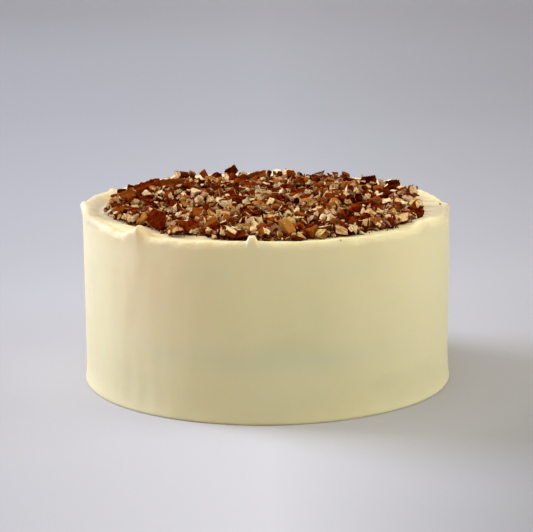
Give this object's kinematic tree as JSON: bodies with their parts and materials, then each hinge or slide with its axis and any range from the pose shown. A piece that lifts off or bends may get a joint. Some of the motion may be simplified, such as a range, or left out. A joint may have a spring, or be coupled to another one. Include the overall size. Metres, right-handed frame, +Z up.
{
  "type": "carrot cake",
  "caption": "Whole round carrot cake, straight-sided and iced all over in ivory cream-cheese icing with a raised uneven rim, its top covered in chopped pecans.",
  "frame": {"origin": "centre of the flat base", "axes": "+Z up along the cake's axis, -Y towards the front as pictured"},
  "size_m": [0.208, 0.2075, 0.1094],
  "materials": {
    "icing": "smooth ivory cream-cheese icing with a soft sheen",
    "pecans": "chopped nuts: red-brown skins, pale cut flesh"
  },
  "bodies": {
    "root": {"iced_cake": "icing", "chopped_pecans": "pecans"}
  },
  "joints": []
}
